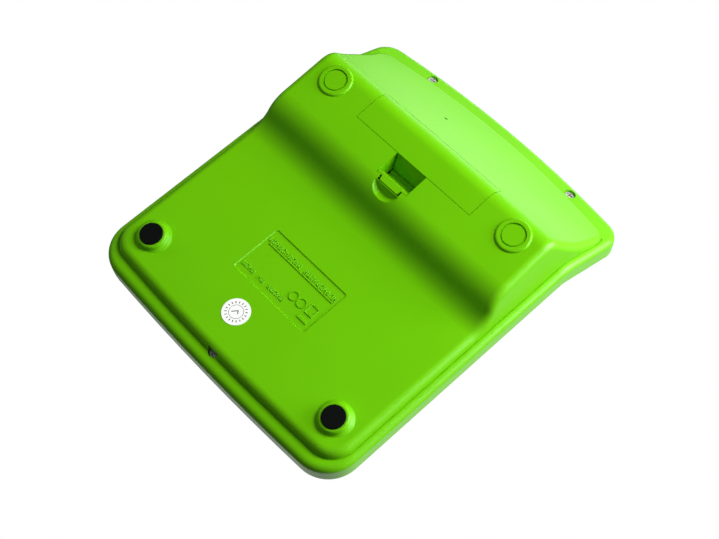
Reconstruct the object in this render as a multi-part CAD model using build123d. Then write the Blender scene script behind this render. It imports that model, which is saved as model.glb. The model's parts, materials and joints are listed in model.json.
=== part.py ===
from build123d import *

import math
import os

# Design frame, in millimetres: +X to the user's right, +Y from the front edge towards the display,
# +Z towards the keys.  Z = 0 is the outer face of the flat pan under the keys and Y = 0 runs through
# the two front feet.  Everything is modelled here and then tipped onto its feet by ``seated``.

# Feet and stance
FRONT_FOOT_X, FRONT_FOOT_DROP = 46.3, 3.2
REAR_FOOT_X, REAR_FOOT_Y, REAR_FOOT_DROP = 43.45, 83.4, 13.54
TILT = math.degrees(math.atan((REAR_FOOT_DROP - FRONT_FOOT_DROP) / REAR_FOOT_Y))
PAD_R, PAD_PROUD, PAD_SEAT = 4.1, 0.5, 0.7
RING_R, RING_ROOT, RING_EDGE_R = 6.25, 1.8, 0.82
RING_GROOVE_R, RING_GROOVE_W, RING_GROOVE_D, RING_DISC_SINK = 4.45, 0.6, 0.6, 0.15

# Bottom shell
WALL = 2.0
PAN_HALF_X, PAN_FRONT_Y, PAN_FRONT_BOW_R = 57.3, -12.6, 900.0
PAN_REAR_Y, PAN_REAR_BOW_R = 124.0, 268.0
PAN_CORNER_R, PAN_REAR_CORNER_R, PAN_DRAFT, PAN_EDGE_R = 9.0, 6.0, 9.0, 2.9
DRAFT_BLEND_R = 30.0
VALLEY_Y, VALLEY_R, VALLEY_DEG, BROW_R = 52.0, 9.5, 62.0, 11.2
RIDGE_END_Y, RIDGE_EDGE_R = 91.2, 7.5
RIDGE_INSET = 0.845
SLOPE_SAG = 1.9
END_WALL_T = 1.2

# Rim around the pan, and the bend that tips the display towards the user
RIM_HALF_X, RIM_FRONT_Y, RIM_FRONT_BOW_R = 60.0, -17.7, 1000.0
RIM_REAR_Y, RIM_REAR_BOW_R = 128.7, 347.0
RIM_CORNER_R, RIM_REAR_CORNER_R, RIM_EDGE_R = 13.0, 8.0, 2.6
FLANGE_Z, RIM_H, TOP_H = 3.1, 4.8, 5.1
BEND_DEG, BEND_R, BEND_Y = 25.5, 14.0, 94.82
TOP_EDGE_R, TOP_INSET = 2.2, 0.12
GROOVE_W, GROOVE_D, GROOVE_END_Y = 0.35, 0.3, 116.0

# Battery door and its latch
DOOR_HALF_X, DOOR_FRONT_Y, DOOR_REAR_Y, DOOR_GAP, DOOR_T = 27.5, 79.0, 94.0, 0.18, 1.8
NOTCH_HALF_X, NOTCH_FRONT_Y = 7.15, 69.3
SLOT_HALF_X, SLOT_FRONT_Y = 5.2, 67.4
SCOOP_Y, SCOOP_Z, SCOOP_R, SCOOP_WALL = 65.9, -14.7, 7.0, 1.6
SCOOP_FACE_DEG, SCOOP_LIP = 25.0, 0.15
LATCH_HALF_X, LATCH_T, STRIP_W, STRIP_CHAMFER = 6.85, 1.1, 1.15, 0.25
TAB_GAP, TAB_ROOT_HALF_X, TAB_TIP_HALF_X = 0.3, 4.6, 4.1
FLEX_Y, FLEX_Z = 76.5, -4.1
CHEEK_Z = -4.3

# Battery
CELL_R, CELL_LEN, CELL_Y, CELL_Z = 7.2, 49.0, 85.5, -3.0
BAY_HALF_X = 28.6

# Keys: five columns and five rows; the plus key spans the two front rows of the last column
COLUMNS = [-40.0, -20.0, 0.0, 20.0, 40.0]
ROW_Y, ROW_PITCH, ROWS = 0.0, 17.8, 5
KEY_W, KEY_D, KEY_R, KEY_H = 16.4, 13.4, 2.6, 4.0
KEY_GAP, KEY_FLANGE, KEY_FLANGE_T, KEY_DRAFT = 0.4, 0.8, 1.0, 9.0
KEY_NAMES = [
    ["key_all_clear", "key_0", "key_point", "key_equals", "key_plus"],
    ["key_clear", "key_1", "key_2", "key_3", None],
    ["key_root", "key_4", "key_5", "key_6", "key_minus"],
    ["key_percent", "key_7", "key_8", "key_9", "key_times"],
    ["key_memory_clear", "key_memory_recall", "key_memory_minus", "key_memory_plus", "key_divide"],
]

# Circuit board stack under the keys
BOARD_Z, BOARD_T, BOARD_HALF_X, BOARD_FRONT_Y, BOARD_REAR_Y = 4.7, 1.4, 54.0, -8.4, 84.0
BOARD_CORNER_R = 6.0
MAT_T, DOME_R, DOME_H = 0.9, 4.6, 1.3
POST_X, POST_YS, POST_R = 51.4, (-4.6, 36.0, 80.5), 1.7

# Display section, measured along the slope from the bend
BEZEL_HALF_X, BEZEL_S0, BEZEL_S1, BEZEL_BOW_R = 50.0, 3.5, 35.0, 347.0
BEZEL_SEAT, BEZEL_PROUD, BEZEL_GAP = 1.2, 0.15, 0.12
WINDOW_HALF_X, WINDOW_S0, WINDOW_S1, WINDOW_T = 42.0, 6.5, 22.0, 1.2
SOLAR_X0, SOLAR_X1, SOLAR_S0, SOLAR_S1 = -19.0, 19.0, 24.8, 32.0

# Screws
SCREW_R, SCREW_HEAD_R, SCREW_HEAD_T, SCREW_SINK, SCREW_BOSS_R = 1.1, 1.95, 1.3, 2.0, 3.5
FRONT_SCREW_Y, REAR_SCREW_X, REAR_SCREW_Y = -11.6, 35.2, 123.5

# Smaller features of the bottom shell
LABEL_X, LABEL_Y, LABEL_W, LABEL_D, LABEL_R = 1.2, 23.2, 35.3, 19.8, 1.0
LABEL_SINK, LABEL_LIP, LABEL_TAPER = 0.4, 0.2, 40.0
GATE_X, GATE_Y, GATE_R, GATE_DEPTH = 13.7, 109.0, 0.7, 0.6
STICKER_X, STICKER_Y, STICKER_R, STICKER_T = 4.7, 2.4, 5.0, 0.12
BOSS_R, BOSS_FOOT_R = 5.3, 6.6

TOP_Z = FLANGE_Z + RIM_H + TOP_H
TAN_TILT = math.tan(math.radians(TILT))
TAN_BEND = math.tan(math.radians(BEND_DEG))
BIG = 200.0
SCREW_PLACES = ("front", "left", "right")
UP = (Align.CENTER, Align.CENTER, Align.MIN)
DOWN = (Align.CENTER, Align.CENTER, Align.MAX)


def ridge_z(y):
    """Height of the flat ridge of the hump, parallel to the surface that the feet stand on."""
    return -FRONT_FOOT_DROP - TAN_TILT * y + RIDGE_INSET


def flange_z(y):
    return FLANGE_Z + max(0.0, y - BEND_Y) * TAN_BEND


def across(profile, half=BIG):
    """Extrude an outline drawn in Y and Z both ways along X."""
    return extrude(profile, amount=half, both=True)


def yz_face(*edges):
    return Plane.YZ * make_face(Curve() + list(edges))


def yz_poly(*points):
    return Plane.YZ * make_face(Polyline(*points, close=True))


# ---------------------------------------------------------------- outlines and bands


def bowed_outline(half_x, front, rear, corner, rear_corner, grow=0.0):
    """Plan outline with straight sides, round corners and gently bowed ends.

    ``front`` and ``rear`` are each the Y of the end and the radius of its bow.
    """
    (front_y, front_bow), (rear_y, rear_bow) = front, rear
    half_x, front_y, rear_y = half_x + grow, front_y - grow, rear_y + grow
    front_side = front_y + half_x**2 / (2 * front_bow)
    rear_side = rear_y - half_x**2 / (2 * rear_bow)
    outline = make_face(
        Curve()
        + [
            ThreePointArc((-half_x, front_side), (0, front_y), (half_x, front_side)),
            Line((half_x, front_side), (half_x, rear_side)),
            ThreePointArc((half_x, rear_side), (0, rear_y), (-half_x, rear_side)),
            Line((-half_x, rear_side), (-half_x, front_side)),
        ]
    )
    by_y = outline.vertices().sort_by(Axis.Y)
    outline = fillet(by_y[:2], max(corner + grow, 1.0))
    by_y = outline.vertices().sort_by(Axis.Y)
    return fillet(by_y[-2:], max(rear_corner + grow, 1.0))


def rim_outline(grow=0.0):
    front, rear = (RIM_FRONT_Y, RIM_FRONT_BOW_R), (RIM_REAR_Y, RIM_REAR_BOW_R)
    return bowed_outline(RIM_HALF_X, front, rear, RIM_CORNER_R, RIM_REAR_CORNER_R, grow)


def pan_outline(grow=0.0):
    front, rear = (PAN_FRONT_Y, PAN_FRONT_BOW_R), (PAN_REAR_Y, PAN_REAR_BOW_R)
    return bowed_outline(PAN_HALF_X, front, rear, PAN_CORNER_R, PAN_REAR_CORNER_R, grow)


def column(outline, low=-60.0, high=90.0):
    return extrude(Pos(0, 0, low) * outline, amount=high - low)


def bent_curve(rise):
    """Start, bend arc and end of the line that lies ``rise`` above the flange, along Y."""
    radius = BEND_R - rise
    turn = math.radians(BEND_DEG)
    centre_y = BEND_Y - BEND_R * math.tan(turn / 2)
    centre_z = FLANGE_Z + BEND_R

    def at(angle, reach=0.0):
        return (
            centre_y + radius * math.sin(angle) + reach * math.cos(angle),
            centre_z - radius * math.cos(angle) + reach * math.sin(angle),
        )

    start = (-60.0, centre_z - radius)
    return start, at(0), at(turn / 2), at(turn), at(turn, 80.0)


def band(low, high):
    """Slab between two heights above the flange, bent where the display section tips up."""
    a, b = bent_curve(low), bent_curve(high)
    return across(
        yz_face(
            Line(a[0], a[1]), ThreePointArc(a[1], a[2], a[3]), Line(a[3], a[4]), Line(a[4], b[4]),
            Line(b[4], b[3]), ThreePointArc(b[3], b[2], b[1]), Line(b[1], b[0]), Line(b[0], a[0]),
        )
    )


def display_frame(s=0.0, n=0.0):
    """Location on the sloping top face: local X across, local Y up the slope, local Z out of it."""
    y = BEND_Y - (RIM_H + TOP_H) * math.tan(math.radians(BEND_DEG / 2))
    return Pos(0, y, TOP_Z) * Rot(X=BEND_DEG) * Pos(0, s, n)


# ---------------------------------------------------------------- bottom shell


def hump_points(inset=0.0):
    """Corner and mid points of the pan, valley, brow and ridge, moved inwards by ``inset``."""
    steep, level = math.radians(VALLEY_DEG), math.radians(TILT)
    hollow, brow = VALLEY_R + inset, BROW_R - inset
    valley_z = -VALLEY_R
    mid_y = VALLEY_Y + VALLEY_R * math.sin(steep)
    mid_z = valley_z + VALLEY_R * math.cos(steep)
    brow_y, brow_z = mid_y + BROW_R * math.sin(steep), mid_z + BROW_R * math.cos(steep)

    def on_valley(angle):
        return VALLEY_Y + hollow * math.sin(angle), valley_z + hollow * math.cos(angle)

    def on_brow(angle):
        return brow_y - brow * math.sin(angle), brow_z - brow * math.cos(angle)

    middle = on_brow((steep + level) / 2)
    return on_valley(0), on_valley(steep / 2), on_valley(steep), middle, on_brow(level)


def slope_point(share, x=0.0, inset=0.0):
    """Y and Z on the rear slope, a share of the way from the ridge down to the flange.

    The slope hangs between the straight edge of the ridge and the bowed line where it meets the flange,
    and is slightly hollow between them.
    """
    edge_z = ridge_z(RIDGE_END_Y)
    foot_y = PAN_REAR_Y - x**2 / (2 * PAN_REAR_BOW_R)
    run, rise = foot_y - RIDGE_END_Y, flange_z(foot_y) - edge_z
    reach = math.hypot(run, rise)
    depth = inset + 4 * SLOPE_SAG * share * (1 - share)
    y = RIDGE_END_Y + run * share - depth * rise / reach
    z = edge_z + rise * share + depth * run / reach
    return y, z


def slope_at(y):
    """Height, and angle in degrees, of the middle line of the rear slope at a given Y."""
    share = (y - RIDGE_END_Y) / (PAN_REAR_Y - RIDGE_END_Y)
    for _ in range(8):
        share += (y - slope_point(share)[0]) / (PAN_REAR_Y - RIDGE_END_Y)
    here, next_to = slope_point(share), slope_point(share + 0.001)
    return here[1], math.degrees(math.atan2(next_to[1] - here[1], next_to[0] - here[0]))


def rear_slope_cutter(inset=0.0):
    """Everything behind the rear slope."""
    rows = []
    for i in range(9):
        x = -80 + 20 * i
        points = [slope_point(share, x, inset) for share in (-0.6, 0.0, 0.35, 0.7, 1.0, 1.4)]
        rows.append([Vector(x, y, z) for y, z in points])
    face = Face.make_surface_from_array_of_points(rows)
    return extrude(face, amount=90, dir=(0, 0.8, -0.6))


def crease_edges(body, wanted, least_deg=6.0):
    """Edges whose two faces meet at an angle and whose midpoint passes the test ``wanted``."""
    sides = {}
    for face in body.faces():
        for edge in face.edges():
            sides.setdefault(hash(edge), []).append((face, edge))
    found = []
    for pair in sides.values():
        if len(pair) < 2:
            continue
        middle = pair[0][1] @ 0.5
        normals = [face.normal_at(middle) for face, _ in pair[:2]]
        if wanted(middle) and normals[0].get_angle(normals[1]) > least_deg:
            found.append(pair[0][1])
    return found


def pan_solid(inset=0.0):
    """Pan, valley and hump as one solid block, its outer faces moved inwards by ``inset``."""
    flat, valley_mid, valley_end, brow_mid, brow_end = hump_points(inset)
    far_y = RIDGE_END_Y + 30
    far = (far_y, brow_end[1] - TAN_TILT * (far_y - brow_end[0]))
    profile = yz_face(
        Line((-60, inset), flat),
        ThreePointArc(flat, valley_mid, valley_end),
        ThreePointArc(valley_end, brow_mid, brow_end),
        Line(brow_end, far),
        Line(far, (far_y + 40, 120)),
        Line((far_y + 40, 120), (-60, 120)),
        Line((-60, 120), (-60, inset)),
    )
    block = across(profile)
    drafted = extrude(Pos(0, 0, FLANGE_Z) * pan_outline(-inset), amount=-30, taper=PAN_DRAFT)
    upright = extrude(Pos(0, 0, FLANGE_Z) * pan_outline(-inset), amount=40)
    block = block & (drafted + upright) - rear_slope_cutter(inset)
    if not inset:
        block = fillet(crease_edges(block, lambda p: abs(p.Z - FLANGE_Z) < 0.05, 3.0), DRAFT_BLEND_R)
    ridge_edge = crease_edges(block, lambda p: abs(p.Y - RIDGE_END_Y) < 4 and p.Z < -8 and abs(p.X) < 5)
    block = fillet(ridge_edge, RIDGE_EDGE_R - inset)
    if not inset:
        sides = crease_edges(block, lambda p: p.Z < min(flange_z(p.Y) + 2, 14) and p.Y < 116.5)
        block = fillet(sides, PAN_EDGE_R)
    return block


def on_feet(shape, x, y, height):
    """Place a shape drawn about local Z so that Z = 0 is ``height`` above the standing surface."""
    drop = -FRONT_FOOT_DROP - TAN_TILT * y
    return Pos(x, y, drop) * Rot(X=-TILT) * Pos(0, 0, height) * shape


def front_boss():
    """Foot boss: flared where it leaves the pan, rounded at its end, with a seat for the pad."""
    end = PAD_PROUD
    profile = make_face(
        Polyline(
            (0, end), (BOSS_R, end), (BOSS_R, end + 1.6), (BOSS_FOOT_R, end + 2.6),
            (BOSS_FOOT_R, end + 4.0), (0, end + 4.0), close=True,
        )
    )
    boss = revolve(Plane.XZ * profile, Axis.Z)
    boss = fillet(boss.edges().filter_by(GeomType.CIRCLE).group_by(Axis.Z)[0], 0.9)
    waist = [e for e in boss.edges().filter_by(GeomType.CIRCLE) if abs(e.center().Z - end - 1.6) < 0.01]
    return fillet(waist, 0.8)


def pad_seat():
    return Cylinder(PAD_R + 0.05, PAD_SEAT, align=UP)


def ring_groove():
    """Groove round the central disc of a rear foot."""
    groove = Cylinder(RING_GROOVE_R, RING_GROOVE_D, align=UP)
    return groove - Cylinder(RING_GROOVE_R - RING_GROOVE_W, RING_GROOVE_D, align=UP)


def rear_ring():
    """Moulded ring foot round a disc that lies slightly lower."""
    ring = Cylinder(RING_R, RING_ROOT, align=UP)
    ring = fillet(ring.edges().filter_by(GeomType.CIRCLE).group_by(Axis.Z)[0], RING_EDGE_R)
    return ring - Cylinder(RING_GROOVE_R, RING_DISC_SINK, align=UP)


def screw_axis(which):
    """Location of a case screw on the outside of the flange, local +Z pointing into the case."""
    if which == "front":
        return Pos(0, FRONT_SCREW_Y, FLANGE_Z)
    side = -1 if which == "left" else 1
    return Pos(side * REAR_SCREW_X, REAR_SCREW_Y, flange_z(REAR_SCREW_Y)) * Rot(X=BEND_DEG)


def door_opening(grow=0.0):
    """Column through the ridge and the top of the slope that the battery door fills."""
    depth = DOOR_REAR_Y - DOOR_FRONT_Y + 2 * grow
    return Pos(0, (DOOR_REAR_Y + DOOR_FRONT_Y) / 2, -10) * Box(2 * (DOOR_HALF_X + grow), depth, 16)


def bottom_case(outer, inner):
    rim = column(rim_outline()) & band(0, RIM_H)
    low_edge = crease_edges(rim, lambda p: abs(p.Z - flange_z(p.Y)) < 0.6, 30.0)
    rim = fillet(low_edge, RIM_EDGE_R)
    cap = band(-60, RIM_H)
    shell = (outer & cap) + rim
    ring = column(pan_outline(GROOVE_W)) - column(pan_outline(0.0))
    before_slope = Pos(0, GROOVE_END_Y - BIG / 2, 0) * Box(BIG, BIG, BIG)
    shell -= ring & band(-1.0, GROOVE_D) & before_slope
    hollow = (inner & band(-60, RIM_H + 5)) + (column(rim_outline(-WALL)) & band(WALL, RIM_H + 5))
    shell -= hollow

    for side in (-1, 1):
        shell += on_feet(front_boss(), side * FRONT_FOOT_X, 0, 0) - hollow
        shell -= on_feet(pad_seat(), side * FRONT_FOOT_X, 0, PAD_PROUD)
        shell += on_feet(rear_ring(), side * REAR_FOOT_X, REAR_FOOT_Y, 0) - hollow
        shell -= on_feet(ring_groove(), side * REAR_FOOT_X, REAR_FOOT_Y, 0)

    for which in SCREW_PLACES:
        boss = screw_axis(which) * Cylinder(SCREW_BOSS_R, RIM_H, align=UP)
        shell += boss & outer_space(outer, rim)
        shell -= screw_axis(which) * Pos(0, 0, -2) * Cylinder(SCREW_HEAD_R + 0.2, SCREW_SINK + 2, align=UP)
        shell -= screw_axis(which) * Cylinder(SCREW_R + 0.15, 20, align=UP)

    shell += battery_bay(outer)
    shell += notch_cheeks(outer)
    shell += scoop_wall(outer)
    shell -= scoop()
    shell -= door_opening(DOOR_GAP)
    notch_depth = DOOR_FRONT_Y - NOTCH_FRONT_Y + 1
    shell -= Pos(0, NOTCH_FRONT_Y + notch_depth / 2, -10) * Box(2 * NOTCH_HALF_X, notch_depth, 14)
    slot_depth = NOTCH_FRONT_Y - SLOT_FRONT_Y + 1
    shell -= Pos(0, SLOT_FRONT_Y + slot_depth / 2, -10) * Box(2 * SLOT_HALF_X, slot_depth, 14)

    mouth = RectangleRounded(LABEL_W + LABEL_LIP, LABEL_D + LABEL_LIP, LABEL_R)
    shell -= Pos(LABEL_X, LABEL_Y, 0) * extrude(mouth, amount=LABEL_SINK, taper=LABEL_TAPER)
    gate_z, gate_deg = slope_at(GATE_Y)
    shell -= Pos(GATE_X, GATE_Y, gate_z) * Rot(X=gate_deg) * Cylinder(GATE_R, 2 * GATE_DEPTH)
    return shell


def outer_space(outer, rim):
    """Everything inside the outer faces of the bottom shell, below the parting line."""
    return (outer & band(-60, RIM_H)) + rim


def scoop():
    """Finger scoop: part of a sphere that ends at a steep face just before the slot of the finger tab."""
    lip_y = SLOT_FRONT_Y - SCOOP_LIP
    behind_face = Box(40, 20, 40, align=(Align.CENTER, Align.MIN, Align.CENTER))
    behind_face = Pos(0, lip_y, ridge_z(lip_y)) * Rot(X=SCOOP_FACE_DEG) * behind_face
    return Pos(0, SCOOP_Y, SCOOP_Z) * Sphere(SCOOP_R) - behind_face


def notch_cheeks(outer):
    """Side walls of the pocket that holds the sprung U of the latch."""
    depth = DOOR_FRONT_Y - NOTCH_FRONT_Y + 1.5
    cheeks = None
    for side in (-1, 1):
        place = Pos(side * (NOTCH_HALF_X + END_WALL_T / 2), DOOR_FRONT_Y - depth / 2, CHEEK_Z)
        cheek = place * Box(END_WALL_T, depth, 30, align=DOWN)
        cheeks = cheek if cheeks is None else cheeks + cheek
    return (cheeks - cell_space()) & outer


def cell_space():
    """Room that the ribs and cheeks leave for the cell."""
    return Pos(0, CELL_Y, CELL_Z) * Rot(Y=90) * Cylinder(CELL_R + 0.35, 80)


def scoop_wall(outer):
    """Cup behind the finger scoop, so that the scoop keeps a wall of its own."""
    cup = Pos(0, SCOOP_Y, SCOOP_Z) * Sphere(SCOOP_R + SCOOP_WALL)
    before_notch = Pos(0, NOTCH_FRONT_Y - 10, -6) * Box(30, 20, 16)
    return cup & before_notch & outer


def battery_bay(outer):
    """End walls and cradle ribs of the battery bay, standing on the inside of the hump."""
    room = outer & (Pos(0, 0, -60 + CELL_Z + 5) * Box(BIG, BIG * 2, 120))
    bay = None
    for side in (-1, 1):
        wall = Pos(side * (BAY_HALF_X + END_WALL_T / 2), 84.5, -4) * Box(END_WALL_T, 17.5, 30)
        rib = Pos(side * 15.0, 97, -4) * Box(1.4, 13.0, 30)
        rib -= cell_space()
        rib -= Pos(0, DOOR_REAR_Y - 8.0, -14) * Box(80, 22.0, 12)
        bay = wall + rib if bay is None else bay + wall + rib
    return bay & room


# ---------------------------------------------------------------- battery door, latch and battery


def battery_door(outer, inner):
    """Door skin cut from the hump itself, with the rear leg of the latch and two hinge tabs."""
    skin = outer & door_opening() & band(-60, RIM_H)
    skin -= door_lining(inner)
    leg = across(
        yz_poly(
            (DOOR_FRONT_Y, ridge_z(DOOR_FRONT_Y) + 0.6),
            (DOOR_FRONT_Y + LATCH_T, ridge_z(DOOR_FRONT_Y) + 0.6),
            (FLEX_Y + LATCH_T, FLEX_Z - 0.3),
            (FLEX_Y, FLEX_Z - 0.3),
        ),
        LATCH_HALF_X,
    )
    hinge_z, slope = slope_at(DOOR_REAR_Y)
    hinge = Pos(0, DOOR_REAR_Y, hinge_z) * Rot(X=slope)
    tab = hinge * Pos(0, 0.1, DOOR_T + 0.8) * Box(8.0, 3.4, 0.8)
    root = hinge * Pos(0, -1.3, DOOR_T + 0.2) * Box(8.0, 1.0, 2.0)
    door = skin + leg
    for x in (-17.0, 17.0):
        door += Pos(x, 0, 0) * (tab + root)
    return door


def door_lining(inner):
    """Space kept free inside the door, a little nearer the skin than the inside of the shell."""
    return Pos(0, 0, -(WALL - DOOR_T)) * inner


def door_latch():
    """Front half of the sprung U: strip flush with the ridge, finger tab, leg and bottom of the U."""
    top_y = NOTCH_FRONT_Y + 0.12
    top_z = ridge_z(top_y)
    edge_y = top_y + STRIP_W
    chamfer_from = (edge_y - STRIP_CHAMFER, ridge_z(edge_y - STRIP_CHAMFER))
    chamfer_to = (edge_y, ridge_z(edge_y) + STRIP_CHAMFER)
    thin = LATCH_T
    bend_r = 1.9
    bend_y, bend_z = FLEX_Y - bend_r, FLEX_Z
    leg_y = bend_y - bend_r
    profile = yz_face(
        Line((top_y, top_z), chamfer_from),
        Line(chamfer_from, chamfer_to),
        Line(chamfer_to, (leg_y + thin, bend_z)),
        ThreePointArc((leg_y + thin, bend_z), (bend_y, bend_z + bend_r - thin), (FLEX_Y - thin, bend_z)),
        Line((FLEX_Y - thin, bend_z), (FLEX_Y, bend_z)),
        ThreePointArc((FLEX_Y, bend_z), (bend_y, bend_z + bend_r), (leg_y, bend_z)),
        Line((leg_y, bend_z), (top_y, top_z + 1.6)),
        Line((top_y, top_z + 1.6), (top_y, top_z)),
    )
    latch = across(profile, LATCH_HALF_X)
    root_y, tip_y = top_y + 0.3, SLOT_FRONT_Y + TAB_GAP
    root, tip = TAB_ROOT_HALF_X, TAB_TIP_HALF_X
    plan = make_face(Polyline((-root, root_y), (root, root_y), (tip, tip_y), (-tip, tip_y), close=True))
    plan = fillet(plan.vertices().sort_by(Axis.Y)[:2], 0.5)
    slab = yz_poly(
        (root_y, ridge_z(root_y)),
        (root_y, ridge_z(root_y) + LATCH_T),
        (tip_y, ridge_z(tip_y) + LATCH_T),
        (tip_y, ridge_z(tip_y)),
    )
    tab = column(plan) & across(slab, LATCH_HALF_X)
    return latch + tab


def battery_cell():
    """AA cell lying across the hump, its button end towards +X."""
    can = Cylinder(CELL_R, CELL_LEN)
    can = fillet(can.edges().filter_by(GeomType.CIRCLE), 0.5)
    button = Pos(0, 0, CELL_LEN / 2) * Cylinder(2.7, 1.0, align=UP)
    return Pos(0, CELL_Y, CELL_Z) * Rot(Y=90) * (can + button)


def positive_contact():
    """Stamped plate with a dimple that meets the button of the cell."""
    inside = BAY_HALF_X
    plate = Pos(inside - 0.2, CELL_Y, CELL_Z + 1.0) * Box(0.4, 9.0, 9.0)
    dimple_len = inside - 0.4 - (CELL_LEN / 2 + 1.0)
    dimple = Pos(inside - 0.4 - dimple_len / 2, CELL_Y, CELL_Z) * Rot(Y=90) * Cylinder(1.6, dimple_len)
    return plate + dimple


def negative_spring():
    """Conical contact spring, drawn as a stack of shrinking rings round one wire backbone."""
    inside = -BAY_HALF_X
    reach = inside * -1 - CELL_LEN / 2 - 0.4
    plate = Pos(inside + 0.2, CELL_Y, CELL_Z + 1.0) * Box(0.4, 9.0, 9.0)
    turns, wire = 4, 0.6
    step = (reach - wire) / (turns - 1)
    spring = plate
    for i in range(turns):
        outer_r = 4.4 - 0.55 * i
        ring = Cylinder(outer_r, wire, align=UP) - Cylinder(outer_r - wire, wire, align=UP)
        spring += Pos(inside + 0.35 + i * step, CELL_Y, CELL_Z) * Rot(Y=90) * ring
    bar = Pos(inside + 0.35 + reach / 2, CELL_Y + 3.4, CELL_Z) * Box(reach - 0.2, 1.9, 0.5)
    return spring + bar


def battery_wires():
    """Two leads from the contacts up to the underside of the circuit board."""
    wires = None
    for side in (-1, 1):
        x = side * (BAY_HALF_X - 0.9)
        rise = BOARD_Z - (CELL_Z + 5.5)
        wire = Pos(x, CELL_Y - 3.0, CELL_Z + 5.5) * Cylinder(0.5, rise, align=UP)
        wires = wire if wires is None else wires + wire
    return wires


# ---------------------------------------------------------------- top shell and display


def display_box(x0, x1, s0, s1, n0, n1):
    centre = display_frame() * Pos((x0 + x1) / 2, (s0 + s1) / 2, (n0 + n1) / 2)
    return centre * Box(x1 - x0, s1 - s0, n1 - n0)


def display_plate(outline, low, high):
    return display_frame() * extrude(Pos(0, 0, low) * outline, amount=high - low)


def bezel_outline(grow=0.0):
    half, near, far = BEZEL_HALF_X + grow, BEZEL_S0 - grow, BEZEL_S1 + grow
    side = far - half**2 / (2 * BEZEL_BOW_R)
    outline = make_face(
        Curve()
        + [
            Line((-half, near), (half, near)),
            Line((half, near), (half, side)),
            ThreePointArc((half, side), (0, far), (-half, side)),
            Line((-half, side), (-half, near)),
        ]
    )
    return fillet(outline.vertices(), 2.5 + grow)


def slot_outline(x0, x1, s0, s1, radius, grow=0.0):
    place = Pos((x0 + x1) / 2, (s0 + s1) / 2)
    return place * RectangleRounded(x1 - x0 + 2 * grow, s1 - s0 + 2 * grow, radius + grow)


def window_outline(grow=0.0):
    return slot_outline(-WINDOW_HALF_X, WINDOW_HALF_X, WINDOW_S0, WINDOW_S1, 1.5, grow)


def solar_outline(grow=0.0):
    return slot_outline(SOLAR_X0, SOLAR_X1, SOLAR_S0, SOLAR_S1, 0.8, grow)


def key_places():
    """Name, X, Y and depth of every key, front row first."""
    places = []
    for row in range(ROWS):
        for col, x in enumerate(COLUMNS):
            name = KEY_NAMES[row][col]
            if name is None:
                continue
            tall = name == "key_plus"
            y = ROW_Y + ROW_PITCH * (row + (0.5 if tall else 0.0))
            places.append((name, x, y, KEY_D + (ROW_PITCH if tall else 0.0)))
    return places


def top_case():
    skin = column(rim_outline(-TOP_INSET)) & band(RIM_H, RIM_H + TOP_H)
    top_z = RIM_H + TOP_H
    high_edge = crease_edges(skin, lambda p: near_band(p, top_z), 30.0)
    skin = fillet(high_edge, TOP_EDGE_R)
    skin -= column(rim_outline(-TOP_INSET - WALL)) & band(RIM_H - 5, top_z - WALL)
    for _, x, y, depth in key_places():
        hole = RectangleRounded(KEY_W + 2 * KEY_GAP, depth + 2 * KEY_GAP, KEY_R + KEY_GAP)
        skin -= Pos(x, y, TOP_Z - WALL - 1) * extrude(hole, amount=WALL + 2)
    skin -= display_plate(bezel_outline(BEZEL_GAP), -BEZEL_SEAT, 3.0)
    skin -= display_box(-45.5, 45.5, 5.0, 23.6, -6.0, 0.5)
    skin -= display_box(SOLAR_X0 - 2.5, SOLAR_X1 + 2.5, 23.0, SOLAR_S1 + 0.9, -6.0, 0.5)
    for side in (-1, 1):
        for y in POST_YS:
            length = TOP_Z - WALL - (BOARD_Z + BOARD_T)
            skin += Pos(side * POST_X, y, BOARD_Z + BOARD_T) * Cylinder(POST_R, length + 0.5, align=UP)
            skin -= Pos(side * POST_X, y, BOARD_Z + BOARD_T - 1) * Cylinder(0.8, 4.5, align=UP)
    for which in SCREW_PLACES:
        skin += screw_axis(which) * Pos(0, 0, RIM_H) * Cylinder(2.8, TOP_H - WALL + 0.5, align=UP)
        skin -= screw_axis(which) * Pos(0, 0, RIM_H - 1) * Cylinder(SCREW_R, 5.0, align=UP)
    return skin


def near_band(point, rise):
    """True for a point that lies on the bent surface ``rise`` above the flange."""
    a, b, _, d, _ = bent_curve(rise)
    if point.Y <= b[0] + 0.01:
        return abs(point.Z - a[1]) < 0.05
    if point.Y >= d[0] - 0.01:
        return abs((point.Z - d[1]) - (point.Y - d[0]) * TAN_BEND) < 0.05
    return b[1] - 0.05 <= point.Z <= d[1] + 0.05 and point.Z < a[1] + 3


def display_bezel():
    plate = display_plate(bezel_outline(), -BEZEL_SEAT + 0.02, BEZEL_PROUD)
    plate -= display_plate(window_outline(BEZEL_GAP), -5, 5)
    return plate - display_plate(solar_outline(), -5, 5)


def display_window():
    return display_plate(window_outline(), -WINDOW_T + 0.02, 0.0)


def lcd_panel():
    return display_box(-43.5, 43.5, 5.4, 23.2, -4.2, -2.2)


def lcd_holder():
    """Frame that carries the LCD glass under the window, open in the middle."""
    frame = display_box(-45.2, 45.2, 5.2, 23.4, -5.4, -2.4)
    frame -= display_box(-43.6, 43.6, 5.35, 23.25, -4.25, 0)
    return frame - display_box(-38, 38, 8, 20.5, -7, 0)


def lcd_ribbon():
    """Heat-bonded film from the lower edge of the LCD down to the rear edge of the circuit board."""
    start = display_frame(4.6, -4.4).position
    board_top = BOARD_Z + BOARD_T
    film = 0.12
    end_y = BOARD_REAR_Y - 2.5
    points = [
        (start.Y, start.Z), (BOARD_REAR_Y + 1.5, board_top + film), (end_y, board_top + film),
        (end_y, board_top + 0.01), (BOARD_REAR_Y + 1.5, board_top + 0.01), (start.Y + film, start.Z - film),
    ]
    return across(yz_poly(*points), 30.0)


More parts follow.
